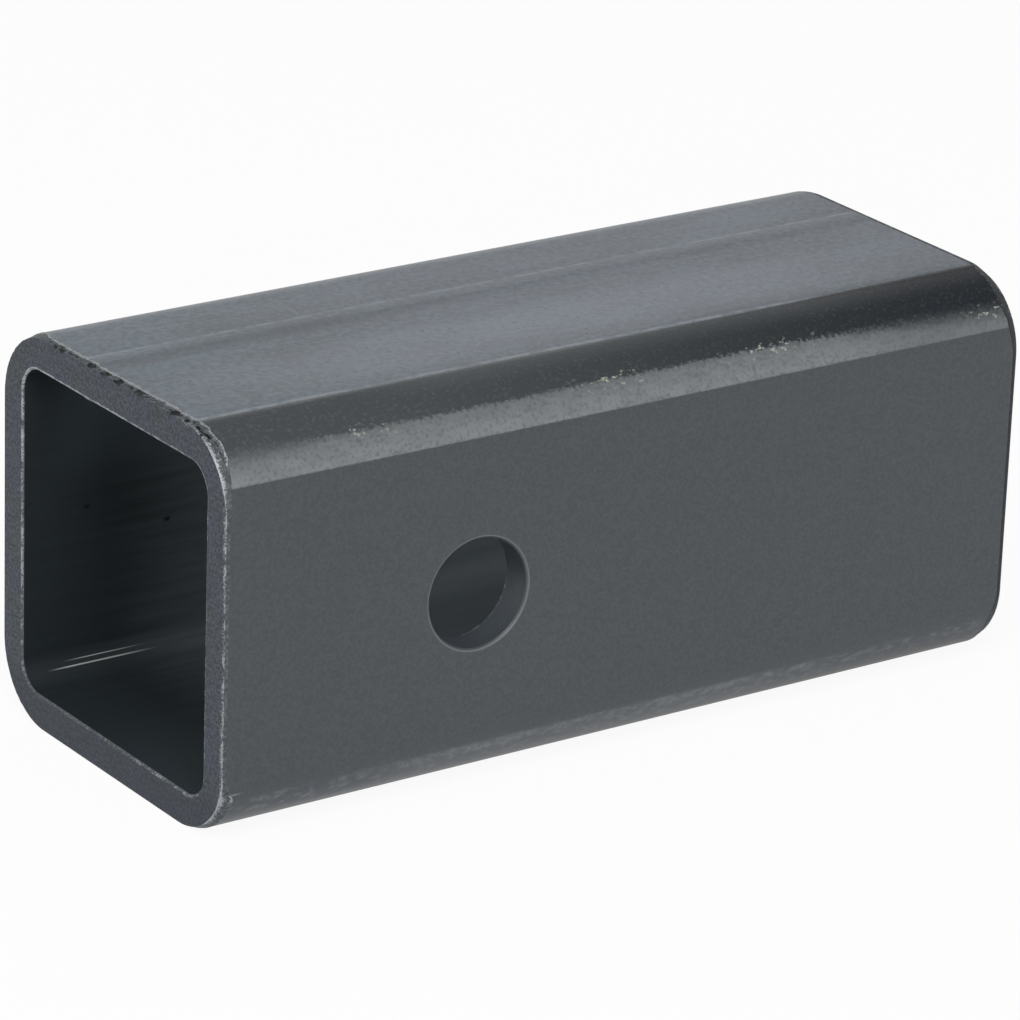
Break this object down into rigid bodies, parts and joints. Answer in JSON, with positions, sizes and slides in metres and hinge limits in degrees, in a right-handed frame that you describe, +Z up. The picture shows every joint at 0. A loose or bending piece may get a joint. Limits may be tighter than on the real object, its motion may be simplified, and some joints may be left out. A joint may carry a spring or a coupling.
{
  "type": "hitch reducer sleeve",
  "caption": "Square steel tube sleeve with a pin hole drilled across it, which makes a large hitch receiver fit a smaller shank.",
  "frame": {"origin": "where the pin hole's axis crosses the tube's axis", "axes": "+X along the tube towards the end further from the pin hole, +Y along the pin hole, +Z up through the wall with the weld seam"},
  "size_m": [0.146, 0.0636, 0.0636],
  "materials": {
    "dark_grey_coating": "thin satin dark grey coating over rolled steel, worn bright on the dressed edges"
  },
  "bodies": {
    "root": {"reducer_sleeve": "dark_grey_coating"}
  },
  "joints": []
}
